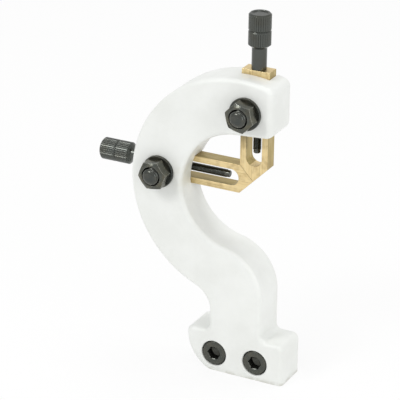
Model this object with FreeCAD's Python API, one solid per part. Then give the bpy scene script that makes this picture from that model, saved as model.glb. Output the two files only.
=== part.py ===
import FreeCAD, Part
import math
import os

# Lathe follow rest. All sizes are in millimetres.
# X runs to the right, Y to the back and Z up. The origin lies on the casting's
# back face, midway between the two mounting screws.
V = FreeCAD.Vector

# Casting
casting_thickness = 19.5
column_straight = 7.125  # the column's left side between the foot's fillet and the heel
ring_radius = 57.0
throat_centre_drop = 0.45  # below the ring's centre
throat_radius = 29.6
column_width = 27.8
throat_blend_radius = 25.0
heel_blend_radius = 13.0
arm_end_x = 17.4
arm_rise_angle = 2.5
arm_corner_radius = 4.0
foot_edge_distance = 14.85
foot_top = 12.0
foot_bottom = -9.0
foot_corner_radius = 3.2
foot_toe_radius = 20.4
shoulder_fillet = 3.0
front_edge_chamfer = 1.6
back_edge_chamfer = 1.2

# Mounting screws, M8 socket head
mount_spacing = 22.0
cap_screw_diameter = 8.0
cap_thread_diameter = 7.9
cap_screw_length = 25.0
cap_head_diameter = 13.0
cap_head_height = 8.0
cap_socket_flats = 6.0
cap_socket_depth = 4.0
mount_hole_diameter = 9.0
counterbore_diameter = 13.6
counterbore_depth = 8.5

# Turning axis of the lathe, where the finger tips meet
work_axis_x = 3.65
work_axis_rise = 3.6  # above the ring's centre

# Fingers
finger_width = 14.4
finger_thickness = 7.2
finger_standout = 2.3  # of the upper finger above the ring
tip_gap = 0.05
tip_half_angle = 45.0
slot_width = 8.2
slot_start = 7.7
finger_end_wall = 5.0
slot_corner_radius = 0.8
channel_depth = 9.8
channel_clearance = 0.05

# Lock bolts, M8 with a flat head that the channel keeps from turning
upper_bolt_inset = 18.0  # from the upper finger's outer end
side_bolt_clearance = 1.4  # to the end of the side finger's slot
lock_bolt_diameter = 7.9
lock_head_length = 14.0
lock_head_sink = 0.2
lock_head_chamfer = 1.0
lock_bolt_standout = 2.0
lock_bolt_tip_chamfer = 1.0

# Washers and hexagon nuts, M8
washer_diameter = 16.0
washer_thickness = 1.6
washer_bore = 8.4
nut_flats = 13.0
nut_height = 6.6
nut_chamfer_angle = 30.0
upper_nut_angle = 46.0
side_nut_angle = 8.0

# Adjusting screws, M4 thread drawn as its crest cylinder
screw_diameter = 3.95
screw_reach = 42.0
shank_diameter = 7.2
shank_length = 10.5
head_diameter = 10.8
head_length = 16.7
head_shoulder_length = 1.5
head_top_chamfer = 0.7
head_groove_width = 1.0
head_groove_depth = 0.7
head_groove_distance = 8.4
head_dish_diameter = 8.0
head_dish_depth = 0.5
running_clearance = 0.05

# Retaining rings that draw the fingers back
ring_thickness = 0.6
ring_diameter = 6.0
ring_groove_diameter = 3.1
ring_side_play = 0.05
ring_mouth_width = 2.4

# Worked out from the sizes above
foot_width = mount_spacing + 2 * foot_edge_distance
heel_drop = math.sqrt(
    (ring_radius + heel_blend_radius) ** 2 - (column_width / 2 + heel_blend_radius) ** 2
)
ring_centre_height = foot_top + shoulder_fillet + column_straight + heel_drop
throat_centre_height = ring_centre_height - throat_centre_drop
work_axis_z = ring_centre_height + work_axis_rise
finger_length = ring_radius - work_axis_rise + finger_standout
front_face = -casting_thickness
channel_floor = -channel_depth
finger_mid = channel_floor + channel_clearance + finger_thickness / 2
finger_back = channel_floor + channel_clearance + finger_thickness
lock_head_back = -lock_head_sink
upper_bolt_distance = finger_length - upper_bolt_inset
side_bolt_distance = finger_length - finger_end_wall - side_bolt_clearance - lock_bolt_diameter / 2
nut_seat = front_face - washer_thickness
lock_bolt_tip = nut_seat - nut_height - lock_bolt_standout
head_start = finger_length + shank_length


def arc_edge(start, end, centre, clockwise):
    """Arc about a centre in the X-Z plane."""
    radius = math.dist(centre, start)
    first = math.atan2(start[1] - centre[1], start[0] - centre[0])
    last = math.atan2(end[1] - centre[1], end[0] - centre[0])
    sweep = (last - first) % (2 * math.pi)
    if clockwise:
        sweep -= 2 * math.pi
    middle = first + sweep / 2
    through = (centre[0] + radius * math.cos(middle), centre[1] + radius * math.sin(middle))
    return Part.Arc(*[V(x, 0, z) for x, z in (start, through, end)]).toShape()


def outline_face(start, steps):
    """Closed X-Z face from straight steps (end,) and arc steps (end, centre, clockwise)."""
    edges = []
    here = start
    for end, *turn in steps:
        if turn:
            edges.append(arc_edge(here, end, *turn))
        else:
            edges.append(Part.LineSegment(V(here[0], 0, here[1]), V(end[0], 0, end[1])).toShape())
        here = end
    return Part.Face(Part.Wire(edges))


def cylinder_y(radius, back, front, x=0.0, z=0.0):
    """Cylinder along Y between two depths."""
    return Part.makeCylinder(radius, back - front, V(x, front, z), V(0, 1, 0))


def box(low, high):
    """Box between two corners."""
    size = [b - a for a, b in zip(low, high)]
    return Part.makeBox(*size, V(*low))


def revolved(profile, axis_x=0.0, axis_y=0.0):
    """Solid turned about a vertical axis from (radius, height) points."""
    points = [V(axis_x + r, axis_y, h) for r, h in profile]
    face = Part.Face(Part.makePolygon(points + points[:1]))
    return face.revolve(V(axis_x, axis_y, 0), V(0, 0, 1), 360)


def point_on(centre, radius, towards):
    """Point at a radius from a centre, on the line towards another point."""
    reach = math.dist(centre, towards)
    return tuple(c + (t - c) * radius / reach for c, t in zip(centre, towards))


def on_finger(shape, side):
    """Moves a shape from the finger's own frame to the upper or the side place.

    In its own frame the tip is at the origin, the finger's length runs along +Z
    and its thickness along Y.
    """
    placed = shape.copy()
    if side:
        placed.rotate(V(0, 0, 0), V(0, 1, 0), -90)
        placed.translate(V(work_axis_x - tip_gap, 0, work_axis_z))
    else:
        placed.translate(V(work_axis_x, 0, work_axis_z + tip_gap))
    return placed


def bolt_place(side):
    """X and Z of a lock bolt's axis."""
    if side:
        return work_axis_x - side_bolt_distance, work_axis_z
    return work_axis_x, work_axis_z + upper_bolt_distance


def casting_outline():
    """Ring-shaped arm on a column and a wide foot, drawn anticlockwise from the foot's right corner."""
    ring = (0.0, ring_centre_height)
    hollow = (0.0, throat_centre_height)
    column = column_width / 2
    foot = foot_width / 2

    throat_drop = math.sqrt(
        (throat_radius + throat_blend_radius) ** 2 - (column - throat_blend_radius) ** 2
    )
    throat = (column - throat_blend_radius, throat_centre_height - throat_drop)
    throat_end = point_on(hollow, throat_radius, throat)

    heel = (-column - heel_blend_radius, ring_centre_height - heel_drop)
    heel_start = point_on(ring, ring_radius, heel)

    rise = math.radians(arm_rise_angle)
    arm_start = (
        -throat_radius * math.sin(rise),
        throat_centre_height + throat_radius * math.cos(rise),
    )
    arm_end_z = arm_start[1] + (arm_end_x - arm_start[0]) * math.tan(rise)
    lower_run = arm_corner_radius * math.tan((math.pi / 2 + rise) / 2)
    lower_corner = (arm_end_x - arm_corner_radius, arm_end_z + lower_run)
    lower_start = (arm_end_x - lower_run * math.cos(rise), arm_end_z - lower_run * math.sin(rise))

    corner_x = arm_end_x - arm_corner_radius
    corner_reach = ring_radius - arm_corner_radius
    upper_corner = (corner_x, ring_centre_height + math.sqrt(corner_reach**2 - corner_x**2))
    upper_end = point_on(ring, ring_radius, upper_corner)

    toe_centre = (-foot + foot_toe_radius, foot_top - foot_corner_radius)
    toe_drop = toe_centre[1] - foot_bottom
    toe_end = (toe_centre[0] - math.sqrt(foot_toe_radius**2 - toe_drop**2), foot_bottom)

    rounded = foot_corner_radius
    blend = shoulder_fillet
    return outline_face(
        (foot, foot_bottom),
        [
            ((foot, foot_top - rounded),),
            ((foot - rounded, foot_top), (foot - rounded, foot_top - rounded), False),
            ((column + blend, foot_top),),
            ((column, foot_top + blend), (column + blend, foot_top + blend), True),
            ((column, throat[1]),),
            (throat_end, throat, False),
            (arm_start, hollow, True),
            (lower_start,),
            ((arm_end_x, lower_corner[1]), lower_corner, False),
            ((arm_end_x, upper_corner[1]),),
            (upper_end, upper_corner, False),
            (heel_start, ring, False),
            ((-column, heel[1]), heel, True),
            ((-column, foot_top + blend),),
            ((-column - blend, foot_top), (-column - blend, foot_top + blend), True),
            ((-foot + rounded, foot_top),),
            ((-foot, foot_top - rounded), (-foot + rounded, foot_top - rounded), False),
            (toe_end, toe_centre, False),
            ((foot, foot_bottom),),
        ],
    )


def outline_edges(shape, depth):
    """Edges of the outline at one depth, without the machined bottom of the foot."""
    return [
        edge
        for edge in shape.Edges
        if abs(edge.BoundBox.YMin - depth) < 1e-6
        and abs(edge.BoundBox.YMax - depth) < 1e-6
        and edge.BoundBox.ZMax > foot_bottom + 1e-6
    ]


def finger_channel():
    """Channel milled across the ring from the back, in the finger's own frame."""
    half = finger_width / 2 + channel_clearance
    return box((-half, channel_floor, 0), (half, 0, head_start))


def casting():
    """Arm, column and foot with the finger channels and all bolt holes."""
    body = casting_outline().extrude(V(0, -casting_thickness, 0))
    body = body.makeChamfer(front_edge_chamfer, outline_edges(body, front_face))
    body = body.makeChamfer(back_edge_chamfer, outline_edges(body, 0.0))
    cuts = []
    for side in (False, True):
        cuts.append(on_finger(finger_channel(), side))
        x, z = bolt_place(side)
        cuts.append(cylinder_y(lock_bolt_diameter / 2 + running_clearance, 0, front_face, x, z))
    for x in (-mount_spacing / 2, mount_spacing / 2):
        cuts.append(cylinder_y(mount_hole_diameter / 2, 0, front_face, x))
        cuts.append(
            cylinder_y(counterbore_diameter / 2, front_face + counterbore_depth, front_face, x)
        )
    return body.cut(cuts)


def finger():
    """Flat bar with a 90 degree tip and a long slot, in its own frame."""
    half = finger_width / 2
    bevel = half / math.tan(math.radians(tip_half_angle))
    bar = outline_face(
        (0, 0),
        [
            ((half, bevel),),
            ((half, finger_length),),
            ((-half, finger_length),),
            ((-half, bevel),),
            ((0, 0),),
        ],
    )
    slot_half = slot_width / 2
    slot_end = finger_length - finger_end_wall
    inner = (0.0, slot_start + slot_half)
    corner = slot_corner_radius
    slot = outline_face(
        (slot_half, inner[1]),
        [
            ((slot_half, slot_end - corner),),
            ((slot_half - corner, slot_end), (slot_half - corner, slot_end - corner), False),
            ((-slot_half + corner, slot_end),),
            ((-slot_half, slot_end - corner), (-slot_half + corner, slot_end - corner), False),
            ((-slot_half, inner[1]),),
            ((slot_half, inner[1]), inner, False),
        ],
    )
    blade = bar.cut(slot).extrude(V(0, finger_thickness, 0))
    blade.translate(V(0, finger_back - finger_thickness, 0))
    hole = Part.makeCylinder(
        screw_diameter / 2 + running_clearance,
        2 * finger_end_wall,
        V(0, finger_mid, slot_end - finger_end_wall / 2),
    )
    return blade.cut(hole)


def ring_groove_start():
    """Distance from the finger's tip to the outer side of the retaining ring's groove."""
    return finger_length - finger_end_wall - ring_side_play


def adjusting_screw():
    """Threaded rod, shank and grip head with a waist groove and a dished top, in the finger's own frame."""
    rod = screw_diameter / 2
    neck = ring_groove_diameter / 2
    shank = shank_diameter / 2
    grip = head_diameter / 2
    dish = head_dish_diameter / 2

    tip = finger_length - screw_reach
    groove_high = ring_groove_start()
    groove_low = groove_high - ring_thickness - 2 * ring_side_play
    waist = head_start + head_groove_distance
    top = head_start + head_length
    return revolved(
        [
            (0, tip),
            (rod, tip),
            (rod, groove_low),
            (neck, groove_low),
            (neck, groove_high),
            (rod, groove_high),
            (rod, finger_length),
            (shank, finger_length),
            (shank, head_start),
            (grip, head_start + head_shoulder_length),
            (grip, waist - head_groove_width / 2),
            (grip - head_groove_depth, waist),
            (grip, waist + head_groove_width / 2),
            (grip, top - head_top_chamfer),
            (grip - head_top_chamfer, top),
            (dish, top),
            (dish - head_dish_depth, top - head_dish_depth),
            (0, top - head_dish_depth),
        ],
        axis_y=finger_mid,
    )


def retaining_ring():
    """Open ring that snaps into the screw's groove behind the finger's end wall."""
    low = ring_groove_start() - ring_side_play - ring_thickness
    centre = V(0, finger_mid, low)
    ring = Part.makeCylinder(ring_diameter / 2, ring_thickness, centre)
    bore = Part.makeCylinder(ring_groove_diameter / 2 + running_clearance, ring_thickness, centre)
    mouth = box(
        (-ring_mouth_width / 2, finger_mid - ring_diameter, low),
        (ring_mouth_width / 2, finger_mid, low + ring_thickness),
    )
    return ring.cut([bore, mouth])


def lock_bolt(side):
    """Flat head in the channel, shank through the finger's slot and cross hole for the screw."""
    x, z = bolt_place(side)
    across = finger_width / 2
    along = lock_head_length / 2
    half_x, half_z = (along, across) if side else (across, along)
    head = box((x - half_x, finger_back, z - half_z), (x + half_x, lock_head_back, z + half_z))
    upright = [e for e in head.Edges if e.BoundBox.YLength > 1e-6]
    head = head.makeChamfer(lock_head_chamfer, upright)
    shank = cylinder_y(lock_bolt_diameter / 2, finger_back, lock_bolt_tip, x, z)
    end_edge = [e for e in shank.Edges if abs(e.BoundBox.YMax - lock_bolt_tip) < 1e-6]
    shank = shank.makeChamfer(lock_bolt_tip_chamfer, end_edge)
    cross = Part.makeCylinder(
        screw_diameter / 2 + running_clearance,
        2 * lock_bolt_diameter,
        V(0, finger_mid, (side_bolt_distance if side else upper_bolt_distance) - lock_bolt_diameter),
    )
    return head.fuse(shank).removeSplitter().cut(on_finger(cross, side))


def washer(side):
    """Flat washer between the casting and a lock nut."""
    x, z = bolt_place(side)
    disc = cylinder_y(washer_diameter / 2, front_face, nut_seat, x, z)
    return disc.cut(cylinder_y(washer_bore / 2, front_face, nut_seat, x, z))


def hexagon(flats, turn, depth):
    """Hexagonal prism that runs back from the origin along Y."""
    corner = flats / math.sqrt(3)
    angles = [math.radians(turn + 60 * k) for k in range(6)]
    points = [V(corner * math.cos(angle), 0, corner * math.sin(angle)) for angle in angles]
    return Part.Face(Part.makePolygon(points + points[:1])).extrude(V(0, depth, 0))


def lock_nut(side):
    """Hexagon nut with its outer face chamfered."""
    x, z = bolt_place(side)
    flat = nut_flats / 2
    corner = nut_flats / math.sqrt(3)
    fall = (corner - flat) * math.tan(math.radians(nut_chamfer_angle))
    bore = lock_bolt_diameter / 2 + running_clearance
    barrel = revolved([(bore, 0), (flat, 0), (corner, fall), (corner, nut_height), (bore, nut_height)])
    barrel.rotate(V(0, 0, 0), V(1, 0, 0), -90)
    nut = hexagon(nut_flats, side_nut_angle if side else upper_nut_angle, nut_height).common(barrel)
    nut.translate(V(x, nut_seat - nut_height, z))
    return nut


def cap_screw(x):
    """M8 socket head cap screw, with its thread where it stands out of the casting."""
    seat = front_face + counterbore_depth
    top = seat - cap_head_height
    head = cylinder_y(cap_head_diameter / 2, seat, top, x)
    shank = cylinder_y(cap_screw_diameter / 2, 0, seat, x)
    thread = cylinder_y(cap_thread_diameter / 2, seat + cap_screw_length, 0, x)
    socket = hexagon(cap_socket_flats, 0, cap_socket_depth)
    socket.translate(V(x, top, 0))
    return thread.fuse([shank, head]).removeSplitter().cut(socket)


def save(name, shape):
    solid = shape.Solids[0] if len(shape.Solids) == 1 else shape
    solid.exportStep(f"parts/{name}.step")
    print(f"{name}: {len(shape.Solids)} solid, {shape.Volume:.1f} cubic mm, {len(shape.Faces)} faces")


def main():
    os.makedirs("parts", exist_ok=True)
    save("casting", casting())
    for side, place in ((False, "upper"), (True, "side")):
        save(f"{place}_finger", on_finger(finger(), side))
        save(f"{place}_adjusting_screw", on_finger(adjusting_screw(), side))
        save(f"{place}_retaining_ring", on_finger(retaining_ring(), side))
        save(f"{place}_lock_bolt", lock_bolt(side))
        save(f"{place}_washer", washer(side))
        save(f"{place}_lock_nut", lock_nut(side))
    save("left_cap_screw", cap_screw(-mount_spacing / 2))
    save("right_cap_screw", cap_screw(mount_spacing / 2))


main()
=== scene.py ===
import math

import bmesh
import bpy
from mathutils import Matrix, Vector


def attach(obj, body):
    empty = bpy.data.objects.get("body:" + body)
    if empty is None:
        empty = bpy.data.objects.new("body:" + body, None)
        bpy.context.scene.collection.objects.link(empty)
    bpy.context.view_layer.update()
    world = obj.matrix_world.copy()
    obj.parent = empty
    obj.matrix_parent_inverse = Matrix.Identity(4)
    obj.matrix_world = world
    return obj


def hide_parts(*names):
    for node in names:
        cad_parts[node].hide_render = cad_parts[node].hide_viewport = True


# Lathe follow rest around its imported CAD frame. Pieces are drawn in millimetres and placed in metres.
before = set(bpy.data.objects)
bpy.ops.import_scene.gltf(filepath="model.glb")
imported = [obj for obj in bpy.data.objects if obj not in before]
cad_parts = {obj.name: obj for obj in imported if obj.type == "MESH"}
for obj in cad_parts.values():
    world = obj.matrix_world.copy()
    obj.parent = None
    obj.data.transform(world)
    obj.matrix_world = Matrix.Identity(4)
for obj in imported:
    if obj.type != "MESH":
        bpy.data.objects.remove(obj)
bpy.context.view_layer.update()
print("frame loaded:", len(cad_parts), "nodes")

# Shared sizes in millimetres, the same values as in the part's source
layout = {
    "thickness": 19.5,
    "workX": 3.65,
    "workZ": 90.35,
    "tipGap": 0.05,
    "upperBolt": 37.7,
    "sideBolt": 45.35,
    "fingerMid": -6.15,
    "fingerBack": -2.55,
    "floor": -9.0,
}


# Places: local +Z is a finger's length, or points out of the front at a bolt
def fingerPlace(side):
    if side:
        home = Matrix.Translation((layout["workX"] - layout["tipGap"], 0, layout["workZ"]))
        return home @ Matrix.Rotation(math.radians(-90), 4, "Y")
    return Matrix.Translation((layout["workX"], 0, layout["workZ"] + layout["tipGap"]))


def screwPlace(side):
    return fingerPlace(side) @ Matrix.Translation((0, layout["fingerMid"], 0))


def frontPlace(x, z):
    return Matrix.Translation((x, 0, z)) @ Matrix.Rotation(math.radians(90), 4, "X")


def boltPlace(side):
    if side:
        return frontPlace(layout["workX"] - layout["sideBolt"], layout["workZ"])
    return frontPlace(layout["workX"], layout["workZ"] + layout["upperBolt"])


# Mesh tools
def pieceFrom(name, verts, faces):
    mesh = bpy.data.meshes.new(name)
    mesh.from_pydata([tuple(v) for v in verts], [], faces)
    build = bmesh.new()
    build.from_mesh(mesh)
    bmesh.ops.remove_doubles(build, verts=build.verts, dist=1e-5)
    bmesh.ops.recalc_face_normals(build, faces=build.faces)
    build.to_mesh(mesh)
    build.free()
    piece = bpy.data.objects.new(name, mesh)
    bpy.context.scene.collection.objects.link(piece)
    return piece


def applied(piece):
    graph = bpy.context.evaluated_depsgraph_get()
    final = piece.evaluated_get(graph)
    mesh = bpy.data.meshes.new_from_object(final, preserve_all_data_layers=True, depsgraph=graph)
    piece.modifiers.clear()
    piece.data = mesh
    return piece


def cut(piece, tool, kind="DIFFERENCE"):
    change = piece.modifiers.new("cut", "BOOLEAN")
    change.operation = kind
    change.solver = "EXACT"
    change.object = tool
    applied(piece)
    bpy.data.objects.remove(tool)
    return piece


def eased(piece, width, angle=28, segments=2):
    if width:
        edge = piece.modifiers.new("eased", "BEVEL")
        edge.width = width
        edge.segments = segments
        edge.limit_method = "ANGLE"
        edge.angle_limit = math.radians(angle)
        edge.use_clamp_overlap = True
        edge.harden_normals = False
        applied(piece)
    piece.data.polygons.foreach_set("use_smooth", [True] * len(piece.data.polygons))
    piece.data.set_sharp_from_angle(angle=math.radians(angle))
    shade = piece.modifiers.new("shade", "WEIGHTED_NORMAL")
    shade.keep_sharp = True
    shade.weight = 80
    return applied(piece)


def ringGrid(name, rings, closed=True):
    # closed caps both ends, otherwise the last ring joins the first
    count = len(rings[0])
    last = (len(rings) - 1) * count
    verts = [point for ring in rings for point in ring]
    faces = []
    for low in range(0, last, count):
        high = low + count
        for k in range(count):
            after = (k + 1) % count
            faces.append((low + k, low + after, high + after, high + k))
    if closed:
        faces.append(tuple(range(count))[::-1])
        faces.append(tuple(range(last, last + count)))
    else:
        for k in range(count):
            after = (k + 1) % count
            faces.append((last + k, last + after, after, k))
    return pieceFrom(name, verts, faces)


def turned(name, rows, around, closed=True):
    # rows are (height, radius), where radius may be a function of the angle
    rings = []
    for height, radius in rows:
        ring = []
        for k in range(around):
            angle = 2 * math.pi * k / around
            r = radius(angle) if callable(radius) else radius
            ring.append(Vector((r * math.cos(angle), r * math.sin(angle), height)))
        rings.append(ring)
    return ringGrid(name, rings, closed)


threadShape = {"stepsPerTurn": 8, "root": 0.2, "flank": 0.65}


def threadRows(start, end, crest, depth, pitch, fade):
    # a helical thread that fades in and out over fade turns
    rows = []
    count = max(2, round((end - start) / pitch * threadShape["stepsPerTurn"]))
    for k in range(count + 1):
        height = start + (end - start) * k / count
        near = min(1.0, min(height - start, end - height) / (pitch * fade))

        def radius(angle, height=height, near=near):
            phase = (height / pitch - angle / (2 * math.pi)) % 1
            lift = (abs(2 * phase - 1) - threadShape["root"]) / threadShape["flank"]
            return crest - depth * (1 - min(max(lift, 0.0), 1.0)) * max(near, 0.0)

        rows.append((height, radius))
    return rows


def arcPoints(x, z, radius, first, turn, steps):
    angles = [first + turn * k / steps for k in range(steps + 1)]
    return [(x + radius * math.cos(angle), z + radius * math.sin(angle)) for angle in angles]


def joinPieces(first, second):
    build = bmesh.new()
    build.from_mesh(first.data)
    build.from_mesh(second.data)
    build.to_mesh(first.data)
    build.free()
    bpy.data.objects.remove(second)
    return first


def prism(name, outline, low, high):
    count = len(outline)
    verts = [Vector((x, low, z)) for x, z in outline] + [Vector((x, high, z)) for x, z in outline]
    faces = [(k, (k + 1) % count, count + (k + 1) % count, count + k) for k in range(count)]
    faces += [tuple(range(count))[::-1], tuple(range(count, 2 * count))]
    return pieceFrom(name, verts, faces)


def blockTool(low, high):
    x0, y0, z0 = low
    x1, y1, z1 = high
    return prism("tool", [(x0, z0), (x1, z0), (x1, z1), (x0, z1)], y0, y1)


def moved(piece, place):
    piece.data.transform(place)
    return piece


def stored(piece):
    # keeps the maker's own coordinates, in millimetres, for the materials
    spots = piece.data.attributes.new("makerCoords", "FLOAT_VECTOR", "POINT")
    values = [c for v in piece.data.vertices for c in v.co]
    spots.data.foreach_set("vector", values)
    return piece


def placed(piece, place, body, node, materials):
    stored(piece)
    piece.data.transform(Matrix.Scale(0.001, 4) @ place)
    for material in materials:
        piece.data.materials.append(material)
    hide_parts(node)
    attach(piece, body)
    return piece


# Material tools
def newGroup(name, inputs, outputs):
    group = bpy.data.node_groups.new(name, "ShaderNodeTree")
    for label, kind, value in inputs:
        socket = group.interface.new_socket(label, in_out="INPUT", socket_type=kind)
        if value is not None:
            socket.default_value = value
    for label, kind in outputs:
        group.interface.new_socket(label, in_out="OUTPUT", socket_type=kind)
    return group, group.nodes.new("NodeGroupInput"), group.nodes.new("NodeGroupOutput")


def mathNode(tree, operation, a, b=None, clamp=False):
    node = tree.nodes.new("ShaderNodeMath")
    node.operation = operation
    node.use_clamp = clamp
    for k, value in enumerate((a, b)):
        if value is None:
            continue
        if isinstance(value, (int, float)):
            node.inputs[k].default_value = value
        else:
            tree.links.new(value, node.inputs[k])
    return node.outputs[0]


def rampNode(tree, value, low, high, outLow=0.0, outHigh=1.0, smooth=True):
    node = tree.nodes.new("ShaderNodeMapRange")
    node.interpolation_type = "SMOOTHSTEP" if smooth else "LINEAR"
    node.clamp = True
    for label, number in (("From Min", low), ("From Max", high), ("To Min", outLow), ("To Max", outHigh)):
        node.inputs[label].default_value = number
    tree.links.new(value, node.inputs["Value"])
    return node.outputs["Result"]


def mixColor(tree, mask, a, b):
    node = tree.nodes.new("ShaderNodeMix")
    node.data_type = "RGBA"
    tree.links.new(mask, node.inputs["Factor"])
    for k, value in ((6, a), (7, b)):
        if isinstance(value, tuple):
            node.inputs[k].default_value = (*value, 1.0)
        else:
            tree.links.new(value, node.inputs[k])
    return node.outputs[2]


def noiseNode(tree, coords, scale, detail=3.0, rough=0.55, stretch=None):
    if stretch:
        turn = tree.nodes.new("ShaderNodeMapping")
        turn.inputs["Scale"].default_value = stretch
        tree.links.new(coords, turn.inputs["Vector"])
        coords = turn.outputs["Vector"]
    node = tree.nodes.new("ShaderNodeTexNoise")
    node.inputs["Scale"].default_value = scale
    node.inputs["Detail"].default_value = detail
    node.inputs["Roughness"].default_value = rough
    tree.links.new(coords, node.inputs["Vector"])
    return node.outputs["Fac"]


def makerCoords(tree):
    node = tree.nodes.new("ShaderNodeAttribute")
    node.attribute_name = "makerCoords"
    return node.outputs["Vector"]


masks = {
    "flatDot": 0.995,
    "bentDot": 0.90,
    "bevelSamples": 6,
    # patches of bare worn edges and painted edge highlights
    "wearAndHighlightPatches": (0.35, 0.62),
    "openSky": 0.8,
    "closedSky": 0.2,
    "skySamples": 8,
    # patches of dirt and painted shade in hollows
    "dirtAndShadeScale": 0.25,
    "dirtAndShadePatches": (0.2, 0.6, 0.4, 1.0),
    "lineStretch": (1.6, 1.6, 0.06),
    "patchScale": 0.22,
}


def edgeWearAndHighlightGroup():
    # bare worn edges and painted edge highlights, found where a bevelled normal leaves the true one
    group, entry, leave = newGroup(
        "edgeWearAndHighlight",
        [
            ("Coords", "NodeSocketVector", None),
            ("Amount", "NodeSocketFloat", 0.5),
            ("Grain", "NodeSocketFloat", 1.5),
            ("Width", "NodeSocketFloat", 0.00035),
        ],
        [("Mask", "NodeSocketFloat")],
    )
    bevel = group.nodes.new("ShaderNodeBevel")
    bevel.samples = masks["bevelSamples"]
    group.links.new(entry.outputs["Width"], bevel.inputs["Radius"])
    geometry = group.nodes.new("ShaderNodeNewGeometry")
    dot = group.nodes.new("ShaderNodeVectorMath")
    dot.operation = "DOT_PRODUCT"
    group.links.new(bevel.outputs["Normal"], dot.inputs[0])
    group.links.new(geometry.outputs["Normal"], dot.inputs[1])
    edge = rampNode(group, dot.outputs["Value"], masks["flatDot"], masks["bentDot"])
    noise = group.nodes.new("ShaderNodeTexNoise")
    noise.inputs["Detail"].default_value = 4.0
    group.links.new(entry.outputs["Coords"], noise.inputs["Vector"])
    group.links.new(entry.outputs["Grain"], noise.inputs["Scale"])
    patchy = rampNode(group, noise.outputs["Fac"], *masks["wearAndHighlightPatches"])
    wornAndHighlight = mathNode(group, "MULTIPLY", edge, patchy)
    group.links.new(mathNode(group, "MULTIPLY", wornAndHighlight, entry.outputs["Amount"], True), leave.inputs["Mask"])
    return group


def hollowDirtAndShadeGroup():
    # dirt and oil, and painted shade, where little sky is seen within reach
    group, entry, leave = newGroup(
        "hollowDirtAndShade",
        [
            ("Coords", "NodeSocketVector", None),
            ("Amount", "NodeSocketFloat", 0.5),
            ("Reach", "NodeSocketFloat", 0.0025),
        ],
        [("Mask", "NodeSocketFloat")],
    )
    shade = group.nodes.new("ShaderNodeAmbientOcclusion")
    shade.samples = masks["skySamples"]
    group.links.new(entry.outputs["Reach"], shade.inputs["Distance"])
    deep = rampNode(group, shade.outputs["AO"], masks["openSky"], masks["closedSky"])
    noise = group.nodes.new("ShaderNodeTexNoise")
    noise.inputs["Scale"].default_value = masks["dirtAndShadeScale"]
    noise.inputs["Detail"].default_value = 3.0
    group.links.new(entry.outputs["Coords"], noise.inputs["Vector"])
    patchy = rampNode(group, noise.outputs["Fac"], *masks["dirtAndShadePatches"])
    dirtAndShadeMask = mathNode(group, "MULTIPLY", deep, patchy)
    group.links.new(mathNode(group, "MULTIPLY", dirtAndShadeMask, entry.outputs["Amount"], True), leave.inputs["Mask"])
    return group


def toolMarkGroup():
    # fine cutter lines along Z of the maker's coordinates, and soft patches
    group, entry, leave = newGroup(
        "toolMarks",
        [("Coords", "NodeSocketVector", None), ("Pitch", "NodeSocketFloat", 3.0)],
        [("Lines", "NodeSocketFloat"), ("Patches", "NodeSocketFloat")],
    )
    scaled = group.nodes.new("ShaderNodeVectorMath")
    scaled.operation = "SCALE"
    group.links.new(entry.outputs["Coords"], scaled.inputs[0])
    group.links.new(entry.outputs["Pitch"], scaled.inputs["Scale"])
    lines = noiseNode(group, scaled.outputs[0], 1.0, 4.0, 0.6, masks["lineStretch"])
    patches = noiseNode(group, entry.outputs["Coords"], masks["patchScale"], 3.0, 0.5)
    group.links.new(lines, leave.inputs["Lines"])
    group.links.new(patches, leave.inputs["Patches"])
    return group


groups = {"edgeWearAndHighlight": edgeWearAndHighlightGroup(), "hollowDirtAndShade": hollowDirtAndShadeGroup(), "toolMarks": toolMarkGroup()}
print("shared node groups made")


def useGroup(tree, name, coords, **values):
    node = tree.nodes.new("ShaderNodeGroup")
    node.node_tree = groups[name]
    tree.links.new(coords, node.inputs["Coords"])
    for label, value in values.items():
        node.inputs[label].default_value = value
    return node.outputs


def newMaterial(name, metallic):
    material = bpy.data.materials.new(name)
    material.use_nodes = True
    tree = material.node_tree
    shader = tree.nodes["Principled BSDF"]
    shader.inputs["Metallic"].default_value = metallic
    return material, tree, shader


def addBump(tree, shader, height, strength, distance):
    # distance is in metres
    bump = tree.nodes.new("ShaderNodeBump")
    bump.inputs["Strength"].default_value = strength
    bump.inputs["Distance"].default_value = distance
    tree.links.new(height, bump.inputs["Height"])
    tree.links.new(bump.outputs["Normal"], shader.inputs["Normal"])


enamel = {
    "color": (0.855, 0.87, 0.845),
    "thin": (0.80, 0.815, 0.785),
    "cloudScale": 0.045,
    # dirt and painted shade in hollows, gaps and where parts meet
    "dirtAndShade": (0.52, 0.50, 0.40),
    "dirtAndShadeAmount": 0.22,
    "stain": (0.60, 0.575, 0.42),
    "stainSpot": (-29.0, -12.0, 90.0),
    "stainReach": 14.0,
    "stainCore": 3.0,
    "stainAmount": 0.42,
    "smearScale": 0.16,
    # darker towards the foot's lower edge
    "bottomDark": (0.46, 0.45, 0.38),
    "bottomDarkFrom": -6.4,
    "bottomDarkTo": -9.0,
    "bottomDarkAmount": 0.5,
    "bottomDarkScale": 0.3,
    "glossScale": 0.12,
    "rough": (0.34, 0.48),
    "specular": 0.45,
    "coat": 0.12,
    "coatRough": 0.2,
    "waveScale": 0.11,
    "waveHeight": 4.5,
    "peelScale": 1.3,
    "peelHeight": 0.35,
    "bump": 0.35,
    "bumpDepth": 0.00012,
}


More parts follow.
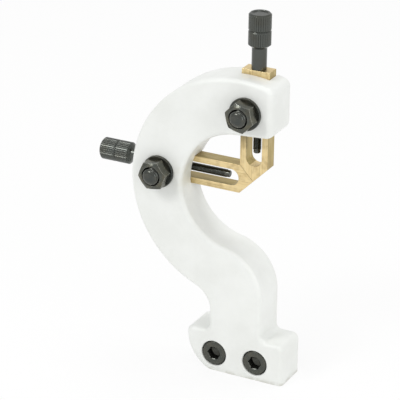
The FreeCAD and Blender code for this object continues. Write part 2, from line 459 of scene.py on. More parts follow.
def enamelMaterial():
    e = enamel
    material, tree, shader = newMaterial("whiteEnamel", 0.0)
    coords = makerCoords(tree)
    clouds = rampNode(tree, noiseNode(tree, coords, e["cloudScale"], 4.0, 0.6), 0.35, 0.7)
    base = mixColor(tree, clouds, e["color"], e["thin"])
    # oily grime round the mouth of the side channel
    far = tree.nodes.new("ShaderNodeVectorMath")
    far.operation = "DISTANCE"
    tree.links.new(coords, far.inputs[0])
    far.inputs[1].default_value = e["stainSpot"]
    near = rampNode(tree, far.outputs["Value"], e["stainReach"], e["stainCore"], 0.0, e["stainAmount"])
    smear = rampNode(tree, noiseNode(tree, coords, e["smearScale"], 4.0, 0.6), 0.3, 0.65, 0.15, 1.0)
    base = mixColor(tree, mathNode(tree, "MULTIPLY", near, smear), base, e["stain"])
    # darker, in patches, towards the foot's lower edge
    place = tree.nodes.new("ShaderNodeSeparateXYZ")
    tree.links.new(coords, place.inputs["Vector"])
    low = rampNode(tree, place.outputs["Z"], e["bottomDarkFrom"], e["bottomDarkTo"], 0.0, e["bottomDarkAmount"])
    patches = rampNode(tree, noiseNode(tree, coords, e["bottomDarkScale"], 4.0, 0.6), 0.38, 0.6, 0.2, 1.0)
    base = mixColor(tree, mathNode(tree, "MULTIPLY", low, patches), base, e["bottomDark"])
    # dirt and painted shade in hollows, gaps and where parts meet
    hollowDirtAndShade = useGroup(tree, "hollowDirtAndShade", coords, Amount=e["dirtAndShadeAmount"])["Mask"]
    tree.links.new(mixColor(tree, hollowDirtAndShade, base, e["dirtAndShade"]), shader.inputs["Base Color"])
    gloss = rampNode(tree, noiseNode(tree, coords, e["glossScale"], 3.0), 0.3, 0.7, *e["rough"])
    tree.links.new(gloss, shader.inputs["Roughness"])
    shader.inputs["Specular IOR Level"].default_value = e["specular"]
    shader.inputs["Coat Weight"].default_value = e["coat"]
    shader.inputs["Coat Roughness"].default_value = e["coatRough"]
    # the casting's unevenness under the paint, and the paint's own fine peel
    waves = mathNode(tree, "MULTIPLY", noiseNode(tree, coords, e["waveScale"], 2.0, 0.4), e["waveHeight"])
    peel = mathNode(tree, "MULTIPLY", noiseNode(tree, coords, e["peelScale"], 2.0, 0.5), e["peelHeight"])
    addBump(tree, shader, mathNode(tree, "ADD", waves, peel), e["bump"], e["bumpDepth"])
    return material


iron = {
    "color": (0.36, 0.36, 0.35),
    "dark": (0.22, 0.22, 0.21),
    # dirt and painted shade in hollows
    "dirtAndShade": (0.08, 0.075, 0.06),
    "dirtAndShadeAmount": 0.5,
    "pitch": 1.8,
    "streak": (0.3, 0.75),
    "rough": (0.38, 0.55),
    "bump": 0.25,
    "bumpDepth": 0.00003,
}


def ironMaterial():
    material, tree, shader = newMaterial("milledIron", 0.9)
    coords = makerCoords(tree)
    marks = useGroup(tree, "toolMarks", coords, Pitch=iron["pitch"])
    streak = rampNode(tree, marks["Lines"], *iron["streak"])
    base = mixColor(tree, streak, iron["color"], iron["dark"])
    # dirt and painted shade in hollows
    hollowDirtAndShade = useGroup(tree, "hollowDirtAndShade", coords, Amount=iron["dirtAndShadeAmount"])["Mask"]
    tree.links.new(mixColor(tree, hollowDirtAndShade, base, iron["dirtAndShade"]), shader.inputs["Base Color"])
    tree.links.new(rampNode(tree, marks["Patches"], 0.3, 0.7, *iron["rough"]), shader.inputs["Roughness"])
    addBump(tree, shader, marks["Lines"], iron["bump"], iron["bumpDepth"])
    return material


brass = {
    "color": (0.86, 0.68, 0.36),
    # a darker brass for the flanks and slot walls: painted shade
    "side": (0.445, 0.345, 0.13),
    "tarnish": (0.36, 0.25, 0.11),
    # painted shade on the brass away from its tip
    "paintedShade": (0.25, 0.20, 0.105),
    "bright": (0.90, 0.77, 0.47),
    "pitch": 1.1,
    "patches": (0.42, 0.72, 0.0, 0.45),
    "streaks": (0.48, 0.75, 0.0, 0.6),
    "stains": (0.47, 0.25, 0.0, 0.8),
    "unshadedTo": 13.5,
    "paintedShadeFrom": 24.0,
    "rails": (4.0, -5.0, 0.35, 1.0),
    "hiddenTo": 44.0,
    "hiddenFade": 6.0,
    # tarnish and painted shade in the slots and hollows
    "hollowTarnishAndShade": 0.8,
    "reach": 0.0035,
    "wearAndHighlight": 1.0,
    "wearAndHighlightGrain": 0.8,
    "wearAndHighlightWidth": 0.00045,
    "rough": (0.3, 0.46),
    "bump": 0.3,
    "bumpDepth": 0.00003,
}


def brassMaterial(name, color, paintedShade):
    # the last argument is how much painted shade darkens the brass away from its tip
    b = brass
    material, tree, shader = newMaterial(name, 1.0)
    coords = makerCoords(tree)
    marks = useGroup(tree, "toolMarks", coords, Pitch=b["pitch"])
    patches = rampNode(tree, marks["Patches"], *b["patches"])
    base = mixColor(tree, patches, color, b["tarnish"])
    streak = rampNode(tree, marks["Lines"], *b["streaks"])
    base = mixColor(tree, streak, base, b["bright"])
    stain = rampNode(tree, marks["Lines"], *b["stains"])
    base = mixColor(tree, stain, base, b["tarnish"])
    # painted shade: the brass is darkened away from the tip, most on the rail at -X, and not on the far end
    place = tree.nodes.new("ShaderNodeSeparateXYZ")
    tree.links.new(coords, place.inputs["Vector"])
    away = rampNode(tree, place.outputs["Z"], b["unshadedTo"], b["paintedShadeFrom"], 0.0, paintedShade)
    rail = rampNode(tree, place.outputs["X"], *b["rails"])
    inside = rampNode(tree, place.outputs["Z"], b["hiddenTo"] + b["hiddenFade"], b["hiddenTo"])
    paintedShadeMask = mathNode(tree, "MULTIPLY", mathNode(tree, "MULTIPLY", away, rail), inside)
    base = mixColor(tree, paintedShadeMask, base, b["paintedShade"])
    # tarnish and painted shade in the slots and hollows
    hollowDirtAndShade = useGroup(tree, "hollowDirtAndShade", coords, Amount=b["hollowTarnishAndShade"], Reach=b["reach"])["Mask"]
    base = mixColor(tree, hollowDirtAndShade, base, b["tarnish"])
    # brighter brass on the edges: wear and painted edge highlights
    edge = useGroup(tree, "edgeWearAndHighlight", coords, Amount=b["wearAndHighlight"], Grain=b["wearAndHighlightGrain"], Width=b["wearAndHighlightWidth"])
    tree.links.new(mixColor(tree, edge["Mask"], base, b["bright"]), shader.inputs["Base Color"])
    tree.links.new(rampNode(tree, marks["Lines"], 0.25, 0.8, *b["rough"]), shader.inputs["Roughness"])
    addBump(tree, shader, marks["Lines"], b["bump"], b["bumpDepth"])
    return material


def steelMaterial(name, v):
    material, tree, shader = newMaterial(name, v["metallic"])
    coords = makerCoords(tree)
    blotch = rampNode(tree, noiseNode(tree, coords, v["blotch"], 4.0, 0.6), 0.35, 0.7)
    base = mixColor(tree, blotch, v["color"], v["second"])
    # oil and painted shade in hollows and gaps
    hollowDirtAndShade = useGroup(tree, "hollowDirtAndShade", coords, Amount=v["oilAndShade"], Reach=v["reach"])["Mask"]
    base = mixColor(tree, hollowDirtAndShade, base, v["oilAndShadeColor"])
    # lighter steel on the edges: wear and painted edge highlights
    edge = useGroup(tree, "edgeWearAndHighlight", coords, Amount=v["wearAndHighlight"], Grain=v["wearAndHighlightGrain"], Width=v["wearAndHighlightWidth"])
    tree.links.new(mixColor(tree, edge["Mask"], base, v["wornAndHighlight"]), shader.inputs["Base Color"])
    grain = noiseNode(tree, coords, v["grain"], 3.0, 0.6)
    tree.links.new(rampNode(tree, grain, 0.3, 0.7, *v["rough"]), shader.inputs["Roughness"])
    addBump(tree, shader, grain, v["bump"], v["bumpDepth"])
    return material


blackOxide = {
    "metallic": 0.85,
    "color": (0.060, 0.067, 0.062),
    "second": (0.092, 0.088, 0.069),
    # lighter steel on the edges: wear and painted edge highlights
    "wornAndHighlight": (0.26, 0.26, 0.235),
    "blotch": 0.22,
    "wearAndHighlight": 0.3,
    "wearAndHighlightGrain": 0.4,
    "wearAndHighlightWidth": 0.00035,
    # oil and painted shade in hollows and gaps
    "oilAndShade": 0.6,
    "oilAndShadeColor": (0.012, 0.012, 0.010),
    "reach": 0.0025,
    "rough": (0.24, 0.38),
    "grain": 2.4,
    "bump": 0.2,
    "bumpDepth": 0.00002,
}
nutOxide = {
    # wider, brighter edges on the nuts: wear and painted edge highlights
    **blackOxide,
    "color": (0.080, 0.086, 0.076),
    "second": (0.125, 0.118, 0.085),
    "wornAndHighlight": (0.50, 0.50, 0.45),
    "wearAndHighlight": 0.9,
    "wearAndHighlightWidth": 0.0005,
    "rough": (0.16, 0.28),
}
studOxide = {
    **blackOxide,
    "color": (0.066, 0.072, 0.067),
    "second": (0.10, 0.10, 0.085),
    "wearAndHighlight": 0.5,
    "rough": (0.13, 0.22),
}
gripOxide = {
    **blackOxide,
    "color": (0.092, 0.099, 0.091),
    "second": (0.086, 0.087, 0.074),
    "wornAndHighlight": (0.22, 0.23, 0.22),
    "blotch": 0.15,
    "wearAndHighlight": 0.1,
    # oil and painted shade reaching further, dark on the head's inner end and in its flutes
    "oilAndShade": 0.35,
    "reach": 0.004,
    "rough": (0.18, 0.23),
    "bump": 0.03,
}
capOxide = {
    **blackOxide,
    "color": (0.074, 0.080, 0.072),
    "second": (0.100, 0.098, 0.080),
    # full oil and painted shade, dark round the head's rim in its counterbore
    "oilAndShade": 1.0,
    "reach": 0.004,
    "rough": (0.24, 0.32),
}
springSteel = {
    **blackOxide,
    "metallic": 0.9,
    "color": (0.16, 0.16, 0.15),
    "second": (0.11, 0.11, 0.10),
    "wornAndHighlight": (0.35, 0.35, 0.33),
    "blotch": 0.8,
    "wearAndHighlight": 0.4,
    "rough": (0.35, 0.5),
}

materials = {
    "enamel": enamelMaterial(),
    "iron": ironMaterial(),
    # the upper finger's brass carries much more painted shade than the side finger's
    "upperBrass": brassMaterial("upperBrass", brass["color"], 0.95),
    "sideBrass": brassMaterial("sideBrass", brass["color"], 0.15),
    "flankBrass": brassMaterial("flankBrass", brass["side"], 0.25),
    "oxide": steelMaterial("blackOxide", blackOxide),
    "nut": steelMaterial("nutOxide", nutOxide),
    "stud": steelMaterial("studOxide", studOxide),
    "grip": steelMaterial("gripOxide", gripOxide),
    "cap": steelMaterial("capOxide", capOxide),
    "spring": steelMaterial("springSteel", springSteel),
}
print("materials made:", len(materials))


# Casting
castingSizes = {
    "ring": (0.0, 86.75, 57.0),
    "hollow": (0.0, 86.3, 29.6),
    "column": 13.9,
    "throatBlend": 25.0,
    "heelBlend": 13.0,
    "armEnd": 17.4,
    "armRise": 2.5,
    "armCorner": 4.0,
    "foot": 25.85,
    "footTop": 12.0,
    "footBottom": -9.0,
    "footCorner": 3.2,
    "toe": 20.4,
    "shoulder": 3.0,
    "frontRound": 2.2,
    "backRound": 1.2,
    "armRound": 3.4,
    "roundSteps": 6,
    "screwX": 11.0,
    "screwHole": 4.5,
    "counterbore": 6.56,
    "counterboreDepth": 8.5,
    "lip": 0.75,
    "lipSteps": 5,
    "boltHole": 4.0,
    "holeSides": 64,
    "boreSides": 96,
    "channelHalf": 7.25,
    "channelDepth": 9.8,
    "channelEnd": 66.2,
    "cutPast": 3.0,
    "cutFar": 25.0,
    "near": 0.01,
}


def castingArcs(c, inset):
    # each arc is centre x, centre z, radius, first angle, last angle, steps, softness at both ends
    ringX, ringZ, ringR = c["ring"]
    holX, holZ, holR = c["hollow"]
    column, foot, shoulder = c["column"], c["foot"], c["shoulder"]
    armCorner, footCorner, toe = c["armCorner"], c["footCorner"], c["toe"]
    rise = math.radians(c["armRise"])
    quarter = math.pi / 2

    throatX = column - c["throatBlend"]
    throatZ = holZ - math.sqrt((holR + c["throatBlend"]) ** 2 - throatX**2)
    throatTurn = math.atan2(holZ - throatZ, holX - throatX)
    heelX = -column - c["heelBlend"]
    heelZ = ringZ - math.sqrt((ringR + c["heelBlend"]) ** 2 - heelX**2)
    heelTurn = math.atan2(heelZ - ringZ, heelX - ringX) % (2 * math.pi)
    armX = c["armEnd"] - armCorner
    undersideZ = holZ + holR * math.cos(rise) + (c["armEnd"] + holR * math.sin(rise)) * math.tan(rise)
    lowerZ = undersideZ + armCorner * math.tan((quarter + rise) / 2)
    upperZ = ringZ + math.sqrt((ringR - armCorner) ** 2 - armX**2)
    upperTurn = math.atan2(upperZ - ringZ, armX - ringX)
    shoulderZ = c["footTop"] + shoulder
    cornerZ = c["footTop"] - footCorner
    toeEnd = math.pi + math.asin((cornerZ - c["footBottom"]) / (toe - inset))
    return [
        (foot - footCorner, cornerZ, footCorner, 0, quarter, 10, 0, 0),
        (column + shoulder, shoulderZ, shoulder, 3 * quarter, 2 * quarter, 8, 0, 0),
        (throatX, throatZ, c["throatBlend"], 0, throatTurn, 36, 0, 0),
        (holX, holZ, holR, throatTurn - math.pi, rise - 3 * quarter, 110, 0, 0),
        (armX, lowerZ, armCorner, rise - quarter, 0, 14, 0, 1),
        (armX, upperZ, armCorner, 0, upperTurn, 14, 1, 0),
        (ringX, ringZ, ringR, upperTurn, heelTurn, 130, 0, 0),
        (heelX, heelZ, c["heelBlend"], heelTurn - math.pi, 0, 26, 0, 0),
        (-column - shoulder, shoulderZ, shoulder, 0, -quarter, 8, 0, 0),
        (footCorner - foot, cornerZ, footCorner, quarter, math.pi, 10, 0, 0),
        (toe - foot, cornerZ, toe, math.pi, toeEnd, 24, 0, 0),
    ]


def castingOutline(c, edge):
    # edge gives the depth and the inset of the rounded rim, from how soft it is there
    depth, inset = edge(0)
    points = [Vector((c["foot"] - inset, depth, c["footBottom"]))]
    for x, z, radius, first, last, steps, softFirst, softLast in castingArcs(c, inset):
        for k in range(steps + 1):
            angle = first + (last - first) * k / steps
            depth, inset = edge(softFirst + (softLast - softFirst) * k / steps)
            reach = radius - inset if last > first else radius + inset
            points.append(Vector((x + reach * math.cos(angle), depth, z + reach * math.sin(angle))))
    return points


def makeCasting():
    c = castingSizes
    mouth = layout["thickness"]
    steps = c["roundSteps"]
    rings = []
    for k in range(steps + 1):
        angle = math.pi / 2 * (1 - k / steps)

        def frontEdge(soft, angle=angle):
            radius = c["frontRound"] + (c["armRound"] - c["frontRound"]) * soft
            return radius * (1 - math.sin(angle)) - mouth, radius * (1 - math.cos(angle))

        rings.append(castingOutline(c, frontEdge))
    for k in range(steps + 1):
        angle = math.pi / 2 * k / steps
        backEdge = (-c["backRound"] * (1 - math.sin(angle)), c["backRound"] * (1 - math.cos(angle)))
        rings.append(castingOutline(c, lambda soft: backEdge))
    body = ringGrid("castBody", rings)

    def drilled(radius, place):
        hole = turned("tool", [(-c["cutPast"], radius), (c["cutFar"], radius)], c["holeSides"])
        cut(body, moved(hole, place))

    half, bore, lip = c["channelHalf"], c["counterbore"], c["lip"]
    for side in (False, True):
        channel = blockTool((-half, -c["channelDepth"], 0), (half, c["cutPast"], c["channelEnd"]))
        cut(body, moved(channel, fingerPlace(side)))
        drilled(c["boltHole"], boltPlace(side))
    for x in (-c["screwX"], c["screwX"]):
        drilled(c["screwHole"], frontPlace(x, 0))
        rows = [(mouth - c["counterboreDepth"], bore)]
        for k in range(c["lipSteps"] + 1):
            angle = math.pi / 2 * k / c["lipSteps"]
            rows.append((mouth - lip * (1 - math.sin(angle)), bore + lip * (1 - math.cos(angle))))
        rows.append((mouth + c["cutPast"], bore + lip))
        cut(body, moved(turned("tool", rows, c["boreSides"]), frontPlace(x, 0)))
    eased(body, 0, 30)
    # milled faces: the back, the channels' floors and the foot's bottom
    for face in body.data.polygons:
        middle = face.center
        onBack = middle.y > -c["near"]
        onFloor = abs(middle.y + c["channelDepth"]) < c["near"] and abs(face.normal.y) > 0.999
        onBottom = middle.z < c["footBottom"] + c["near"]
        face.material_index = 1 if onBack or onFloor or onBottom else 0
    finish = [materials["enamel"], materials["iron"]]
    placed(body, Matrix.Identity(4), "frame", "casting", finish)


makeCasting()
print("casting made")


# Fingers
fingerSizes = {
    "half": 7.2,
    "thickness": 7.2,
    "length": 55.7,
    "slotHalf": 4.1,
    "slotStart": 7.7,
    "endWall": 5.0,
    "slotCorner": 0.8,
    "screwHole": 2.025,
    "holeSides": 48,
    "edge": 0.22,
    "cutPast": 2.0,
    "frontFacing": 0.6,
    "endFacing": 0.9,
}


def makeFinger(side, name, body):
    f = fingerSizes
    half, length, past = f["half"], f["length"], f["cutPast"]
    slotHalf, corner = f["slotHalf"], f["slotCorner"]
    back = layout["fingerBack"]
    front = back - f["thickness"]
    outline = [(0, 0), (half, half), (half, length), (-half, length), (-half, half)]
    bar = prism(name, outline, front, back)
    end = length - f["endWall"]
    quarter = math.pi / 2
    slot = arcPoints(0, f["slotStart"] + slotHalf, slotHalf, math.pi, math.pi, 32)
    slot += arcPoints(slotHalf - corner, end - corner, corner, 0, quarter, 6)
    slot += arcPoints(corner - slotHalf, end - corner, corner, quarter, quarter, 6)
    cut(bar, prism("tool", slot, front - past, back + past))
    hole = turned("tool", [(end - past, f["screwHole"]), (length + past, f["screwHole"])], f["holeSides"])
    cut(bar, moved(hole, Matrix.Translation((0, layout["fingerMid"], 0))))
    eased(bar, f["edge"], 35, 3)
    # painted shade: the flanks and slot walls get a darker brass than the milled front, back and outer end
    for face in bar.data.polygons:
        bright = abs(face.normal.y) > f["frontFacing"] or face.normal.z > f["endFacing"]
        face.material_index = 0 if bright else 1
    finish = [materials["sideBrass" if side else "upperBrass"], materials["flankBrass"]]
    placed(bar, fingerPlace(side), body, body, finish)


for side, place in ((False, "upper"), (True, "side")):
    makeFinger(side, place + "Finger", place + "_finger")
print("fingers made")


# Adjusting screws and their retaining rings
screwSizes = {
    "tip": 13.7,
    "rod": 1.975,
    "dogLength": 1.6,
    "dogRadius": 1.7,
    "tipChamfer": 0.3,
    "runIn": 0.3,
    "threadDepth": 0.34,
    "pitch": 0.7,
    "fade": 1.0,
    "rodSides": 56,
    "shoulder": 55.7,
    "shank": 3.6,
    "shankChamfer": 0.2,
    "sunk": 0.5,
    "headStart": 66.2,
    "headLength": 16.7,
    "headInset": 0.1,
    "grip": 5.4,
    "startChamfer": 1.5,
    "topChamfer": 0.7,
    "waistAt": 8.4,
    "waistHalf": 0.6,
    "waistDepth": 0.45,
    "dish": 4.0,
    "dishDepth": 0.5,
    "dishKnee": 0.6,
    "dishFloor": 1.0,
    "teeth": 30,
    "pointsPerTooth": 8,
    "toothDepth": 0.16,
    "grooveShare": 0.32,
    "grooveLow": 49.95,
    "grooveHigh": 50.65,
    "neck": 1.55,
    "sharp": 0.001,
    "fine": 0.01,
    "gap": 0.1,
}


def makeScrew(side, name, body):
    s = screwSizes
    sharp, fine, gap, shank, grip, dish = s["sharp"], s["fine"], s["gap"], s["shank"], s["grip"], s["dish"]
    dogEnd = s["tip"] + s["dogLength"]
    rows = [
        (s["tip"], s["dogRadius"] - s["tipChamfer"]),
        (s["tip"] + s["tipChamfer"], s["dogRadius"]),
        (dogEnd, s["dogRadius"]),
    ]
    threadStart = dogEnd + s["runIn"]
    rows += threadRows(threadStart, s["grooveLow"], s["rod"], s["threadDepth"], s["pitch"], s["fade"])
    rows += [
        (s["grooveLow"] + sharp, s["neck"]),
        (s["grooveHigh"], s["neck"]),
        (s["grooveHigh"] + sharp, s["rod"]),
        (s["shoulder"], s["rod"]),
        (s["shoulder"] + sharp, shank - s["shankChamfer"]),
        (s["shoulder"] + s["shankChamfer"], shank),
        (s["headStart"] + s["sunk"], shank),
    ]
    screw = turned(name, rows, s["rodSides"])

    start = s["headStart"]
    top = start + s["headLength"]
    waist = start + s["waistAt"]
    waistLow, waistHigh = waist - s["waistHalf"], waist + s["waistHalf"]
    waistGrip = grip - s["waistDepth"]
    chamferEnd, chamferTop = start + s["startChamfer"], top - s["topChamfer"]

    def tooth(limit):
        def radius(angle):
            phase = (angle * s["teeth"] / (2 * math.pi) + 0.5) % 1
            rise = min(1.0, abs(2 * phase - 1) / s["grooveShare"])
            return min(limit, grip - s["toothDepth"] * (1 - rise))

        return radius

    def taper(low, high, lowRadius, highRadius, count):
        return [
            (low + (high - low) * k / count, tooth(lowRadius + (highRadius - lowRadius) * k / count))
            for k in range(count + 1)
        ]

    head = [(start, shank - s["headInset"])]
    head += taper(start + sharp, chamferEnd, shank, grip, 9)
    head += taper(chamferEnd + gap, waistLow, grip, grip, 2)
    head += taper(waistLow + fine, waist, grip, waistGrip, 5)
    head += taper(waist + 2 * fine, waistHigh, waistGrip, grip, 5)
    head += taper(waistHigh + gap, chamferTop - gap, grip, grip, 2)
    head += taper(chamferTop, top, grip, grip - s["topChamfer"], 5)
    depth, knee = s["dishDepth"], s["dishKnee"]
    head += [
        (top, dish),
        (top - depth * knee, dish - depth * (1 - knee)),
        (top - depth, dish - depth),
        (top - depth, s["dishFloor"]),
    ]
    knob = turned("tool", head, s["teeth"] * s["pointsPerTooth"])
    eased(knob, 0, 40)
    eased(screw, 0, 35)
    joined = joinPieces(screw, knob)
    node = body.replace("screw", "adjusting_screw")
    placed(joined, screwPlace(side), body, node, [materials["grip"]])


ringSizes = {
    "inner": 1.6,
    "outer": 3.0,
    "low": 50.0,
    "thickness": 0.6,
    "mouthHalf": 1.2,
    "steps": 72,
    "edge": 0.08,
}


def makeRing(side, name, body):
    # an open ring whose mouth, with parallel sides, faces -Y
    r = ringSizes
    low, high = r["low"], r["low"] + r["thickness"]

    def cornerPoint(radius, share, height):
        mouth = math.asin(r["mouthHalf"] / radius)
        angle = -math.pi / 2 + mouth + (2 * math.pi - 2 * mouth) * share
        return Vector((radius * math.cos(angle), radius * math.sin(angle), height))

    rings = []
    for k in range(r["steps"] + 1):
        share = k / r["steps"]
        section = [(r["inner"], low), (r["outer"], low), (r["outer"], high), (r["inner"], high)]
        rings.append([cornerPoint(radius, share, height) for radius, height in section])
    ring = ringGrid(name, rings)
    eased(ring, r["edge"], 40)
    node = body.replace("screw", "retaining_ring")
    placed(ring, screwPlace(side), body, node, [materials["spring"]])


for side, place in ((False, "upper"), (True, "side")):
    makeScrew(side, place + "AdjustingScrew", place + "_screw")
    makeRing(side, place + "RetainingRing", place + "_screw")
print("adjusting screws made")


# Lock bolts, washers and nuts
boltSizes = {
    "shank": 3.95,
    "headLow": 0.2,
    "headHigh": 2.55,
    "across": 7.2,
    "along": 7.0,
    "corner": 1.0,
    "sunk": 1.0,
    "tip": 29.7,
    "tipChamfer": 1.3,
    "tipInset": 0.25,
    "domeRun": 2.0,
    "domeSteps": 5,
    "threadStart": 14.0,
    "threadDepth": 0.68,
    "pitch": 1.25,
    "fade": 0.7,
    "runIn": 0.1,
    "sides": 72,
    "crossHole": 2.025,
    "crossHalf": 9.0,
    "crossSides": 48,
}
washerSizes = {
    "outer": 8.0,
    "bore": 4.2,
    "seat": 19.5,
    "thickness": 1.6,
    "sides": 96,
    "edge": 0.22,
}
nutSizes = {
    "flats": 13.0,
    "seat": 21.1,
    "height": 6.6,
    "chamfer": 30.0,
    "faceInset": 0.9,
    "underInset": 0.15,
    "sink": 0.85,
    "play": 0.05,
    "sides": 120,
    "edge": 0.12,
    "turn": {"upper": 46.0, "side": 8.0},
}


def makeBolt(side, name, node):
    b = boltSizes
    threadEnd = b["tip"] - b["tipChamfer"]
    rows = [(b["headHigh"] - b["sunk"], b["shank"]), (b["threadStart"] - b["runIn"], b["shank"])]
    rows += threadRows(b["threadStart"], threadEnd, b["shank"], b["threadDepth"], b["pitch"], b["fade"])
    for k in range(b["domeSteps"] + 1):
        angle = math.pi / 2 * k / b["domeSteps"]
        height = b["tip"] - b["tipChamfer"] * (1 - math.sin(angle))
        rows.append((height, b["shank"] - b["tipInset"] - b["domeRun"] * (1 - math.cos(angle))))
    bolt = turned(name, rows, b["sides"])
    halfX, halfZ = (b["along"], b["across"]) if side else (b["across"], b["along"])
    outline = []
    for sx, sz in ((1, -1), (1, 1), (-1, 1), (-1, -1)):
        pair = [(sx * halfX, sz * (halfZ - b["corner"])), (sx * (halfX - b["corner"]), sz * halfZ)]
        outline += pair if sx * sz > 0 else pair[::-1]
    head = prism("tool", outline, b["headLow"], b["headHigh"])
    head.data.transform(Matrix.Rotation(math.radians(90), 4, "X"))
    cut(bolt, head, "UNION")
    reach, radius = b["crossHalf"], b["crossHole"]
    hole = turned("tool", [(-reach, radius), (reach, radius)], b["crossSides"])
    across = Matrix.Rotation(math.radians(90), 4, "Y" if side else "X")
    cut(bolt, moved(hole, Matrix.Translation((0, 0, -layout["fingerMid"])) @ across))
    eased(bolt, 0, 30)
    placed(bolt, boltPlace(side), "frame", node, [materials["stud"]])


def makeWasher(side, name, body):
    w = washerSizes
    low, high = w["seat"], w["seat"] + w["thickness"]
    rows = [(low, w["bore"]), (low, w["outer"]), (high, w["outer"]), (high, w["bore"])]
    washer = turned(name, rows, w["sides"], closed=False)
    eased(washer, w["edge"], 40, 3)
    placed(washer, boltPlace(side), body, body, [materials["oxide"]])


def makeNut(side, name, body):
    n = nutSizes
    turn = math.radians(n["turn"]["side" if side else "upper"])
    flat = n["flats"] / 2
    slope = math.tan(math.radians(n["chamfer"]))
    bore = boltSizes["shank"] + n["play"]
    low, high = n["seat"], n["seat"] + n["height"]
    under, face = flat - n["underInset"], flat - n["faceInset"]
    steps = 4
    rings = []

    def hexagon(angle):
        sector = (angle - turn) % (math.pi / 3) - math.pi / 6
        return flat / math.cos(sector)

    def addRing(level, radius):
        # level and radius may be functions of the angle
        points = []
        for k in range(n["sides"]):
            angle = turn + 2 * math.pi * k / n["sides"]
            r = radius(angle) if callable(radius) else radius
            height = level(angle) if callable(level) else level
            points.append(Vector((r * math.cos(angle), r * math.sin(angle), height)))
        rings.append(points)

    def chamferRing(level, inner, share, way):
        # a cone from the inner circle out to the hexagon cuts the corners in arcs
        addRing(
            lambda angle: level + way * (hexagon(angle) - inner) * share * slope,
            lambda angle: inner + (hexagon(angle) - inner) * share,
        )

    addRing(low, bore + n["sink"])
    addRing(low, under)
    for k in range(1, steps + 1):
        chamferRing(low, under, k / steps, 1)
    addRing((low + high) / 2, hexagon)
    for k in range(steps, 0, -1):
        chamferRing(high, face, k / steps, -1)
    addRing(high, face)
    addRing(high, bore + n["sink"])
    addRing(high - n["sink"], bore)
    addRing(low + n["sink"], bore)
    nut = ringGrid(name, rings, closed=False)
    eased(nut, n["edge"], 25, 2)
    node = body.replace("nut", "lock_nut")
    placed(nut, boltPlace(side), body, node, [materials["nut"]])


for side, place in ((False, "upper"), (True, "side")):
    makeBolt(side, place + "LockBolt", place + "_lock_bolt")
    makeWasher(side, place + "Washer", place + "_washer")
    makeNut(side, place + "LockNut", place + "_nut")
print("lock bolts, washers and nuts made")


# Socket head screws in the foot
capSizes = {
    "x": 11.0,
    "seat": 11.0,
    "headHeight": 8.0,
    "head": 6.4,
    "footInset": 0.4,
    "footRise": 0.3,
    "rim": 1.1,
    "rimSteps": 6,
    "knurls": 48,
    "pointsPerKnurl": 4,
    "knurlDepth": 0.18,
    "shank": 4.0,
    "shankSides": 64,
    "sunk": 1.0,
    "thread": 3.95,
    "threadDepth": 0.68,
    "threadEnd": 1.5,
    "pitch": 1.25,
    "fade": 0.8,
    "tip": -14.0,
    "tipInset": 1.0,
    "tipLength": 0.9,
    "runIn": 0.05,
    "socketFlats": 6.0,
    "socketDepth": 4.0,
    "socketSides": 96,
    "drillDepth": 1.2,
    "drillTip": 0.3,
    "drillShare": 0.94,
    "sharp": 0.01,
    "bevelBelow": 0.25,
    "bevelAbove": 0.2,
    "bevelPast": 0.1,
}


def makeCapScrew(x, name, node):
    c = capSizes
    seat, top = c["seat"], c["seat"] + c["headHeight"]

    def knurl(limit):
        def radius(angle):
            phase = (angle * c["knurls"] / (2 * math.pi)) % 1
            return min(limit, c["head"] - c["knurlDepth"] * (1 - abs(2 * phase - 1)))

        return radius

    rows = [(seat, c["head"] - c["footInset"]), (seat + c["footRise"], knurl(c["head"]))]
    for k in range(c["rimSteps"] + 1):
        angle = math.pi / 2 * k / c["rimSteps"]
        limit = c["head"] - c["rim"] * (1 - math.cos(angle))
        rows.append((top - c["rim"] * (1 - math.sin(angle)), knurl(limit)))
    head = turned(name, rows, c["knurls"] * c["pointsPerKnurl"])

    tipEnd, threadEnd = c["tip"] + c["tipLength"], seat - c["threadEnd"]
    shank = [(c["tip"], c["thread"] - c["tipInset"]), (tipEnd, c["thread"])]
    shank += threadRows(tipEnd + c["runIn"], threadEnd, c["thread"], c["threadDepth"], c["pitch"], c["fade"])
    shank += [(seat + c["sunk"], c["shank"])]
    body = turned("tool", shank, c["shankSides"])

    flat = c["socketFlats"] / 2
    corner = c["socketFlats"] / math.sqrt(3)
    bottom = top - c["socketDepth"]

    def socket(angle):
        return flat / math.cos(angle % (math.pi / 3) - math.pi / 6)

    def socketMouth(angle):
        return max(socket(angle), corner + c["bevelPast"])

    tool = [
        (bottom - c["drillDepth"], c["drillTip"]),
        (bottom, flat * c["drillShare"]),
        (bottom + c["sharp"], socket),
        (top - c["bevelBelow"], socket),
        (top + c["bevelAbove"], socketMouth),
    ]
    cut(head, turned("tool", tool, c["socketSides"]))
    eased(head, 0, 28)
    eased(body, 0, 35)
    joinPieces(head, body)
    placed(head, frontPlace(x, 0), "frame", node, [materials["cap"]])


makeCapScrew(-capSizes["x"], "leftCapScrew", "left_cap_screw")
makeCapScrew(capSizes["x"], "rightCapScrew", "right_cap_screw")
print("socket head screws made")


# Floor, lamps and camera
stage = {
    "floorHalf": 6.0,
    "floorColor": (0.93, 0.93, 0.925),
    "floorRough": 0.9,
    "floorSpecular": 0.1,
    "whiteShare": 0.85,
    "worldStrength": 0.66,
    "aim": (0.0, 0.0, 0.07),
}
# spot, size and power of each lamp
lamps = {
    "keyLamp": ((-0.55, -0.85, 0.95), 0.42, 4.4),
    "topLamp": ((0.05, 0.25, 1.25), 0.5, 3.2),
    "fillLamp": ((1.0, -0.45, 0.45), 0.7, 3.0),
}


def whiteRays(tree):
    # the rays that meet a white background: straight to the camera, or by metal or glass
    rays = tree.nodes.new("ShaderNodeLightPath")
    seen = mathNode(tree, "MAXIMUM", rays.outputs["Is Camera Ray"], rays.outputs["Is Glossy Ray"])
    return mathNode(tree, "MAXIMUM", seen, rays.outputs["Is Transmission Ray"])


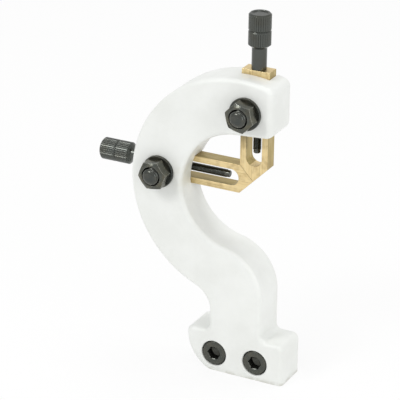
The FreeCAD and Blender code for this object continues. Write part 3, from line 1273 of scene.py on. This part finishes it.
def makeFloor():
    half = stage["floorHalf"]
    z = layout["floor"] * 0.001
    corners = [(-half, -half, z), (half, -half, z), (half, half, z), (-half, half, z)]
    floor = pieceFrom("floor", corners, [(0, 1, 2, 3)])
    material = bpy.data.materials.new("paleFloor")
    material.use_nodes = True
    tree = material.node_tree
    shader = tree.nodes["Principled BSDF"]
    shader.inputs["Base Color"].default_value = (*stage["floorColor"], 1)
    shader.inputs["Roughness"].default_value = stage["floorRough"]
    shader.inputs["Specular IOR Level"].default_value = stage["floorSpecular"]
    white = tree.nodes.new("ShaderNodeEmission")
    mix = tree.nodes.new("ShaderNodeMixShader")
    share = mathNode(tree, "MULTIPLY", whiteRays(tree), stage["whiteShare"])
    tree.links.new(share, mix.inputs["Fac"])
    tree.links.new(shader.outputs["BSDF"], mix.inputs[1])
    tree.links.new(white.outputs["Emission"], mix.inputs[2])
    tree.links.new(mix.outputs["Shader"], tree.nodes["Material Output"].inputs["Surface"])
    floor.data.materials.append(material)


def makeWorld():
    world = bpy.data.worlds.new("studio")
    bpy.context.scene.world = world
    world.use_nodes = True
    tree = world.node_tree
    light = tree.nodes["Background"]
    light.inputs["Strength"].default_value = stage["worldStrength"]
    light.inputs["Color"].default_value = (1, 1, 1, 1)
    seen = tree.nodes.new("ShaderNodeBackground")
    mix = tree.nodes.new("ShaderNodeMixShader")
    tree.links.new(whiteRays(tree), mix.inputs["Fac"])
    tree.links.new(light.outputs["Background"], mix.inputs[1])
    tree.links.new(seen.outputs["Background"], mix.inputs[2])
    tree.links.new(mix.outputs["Shader"], tree.nodes["World Output"].inputs["Surface"])


def makeLamp(name, spot, size, power):
    data = bpy.data.lights.new(name, "AREA")
    data.size = size
    data.energy = power
    lamp = bpy.data.objects.new(name, data)
    lamp.location = spot
    aim = Vector(stage["aim"]) - Vector(spot)
    lamp.rotation_euler = aim.to_track_quat("-Z", "Y").to_euler()
    bpy.context.scene.collection.objects.link(lamp)


camera = {
    "spot": (0.4106, -0.8612, 0.4885),
    "right": (0.88812, 0.45946, 0.01184),
    "up": (-0.19200, 0.34747, 0.91782),
    "back": (0.41759, -0.81741, 0.39681),
    "lens": 195.08,
    "sensor": 36.0,
    "clipStart": 0.05,
    "clipEnd": 30.0,
}


def makeCamera():
    data = bpy.data.cameras.new("camera")
    data.lens = camera["lens"]
    data.sensor_width = camera["sensor"]
    data.clip_start = camera["clipStart"]
    data.clip_end = camera["clipEnd"]
    eye = bpy.data.objects.new("camera", data)
    turn = Matrix((camera["right"], camera["up"], camera["back"])).transposed().to_4x4()
    eye.matrix_world = Matrix.Translation(camera["spot"]) @ turn
    bpy.context.scene.collection.objects.link(eye)
    bpy.context.scene.camera = eye


makeFloor()
makeWorld()
for name, (spot, size, power) in lamps.items():
    makeLamp(name, spot, size, power)
makeCamera()
bpy.context.scene.view_settings.view_transform = "Standard"
print("stage, lamps and camera set")
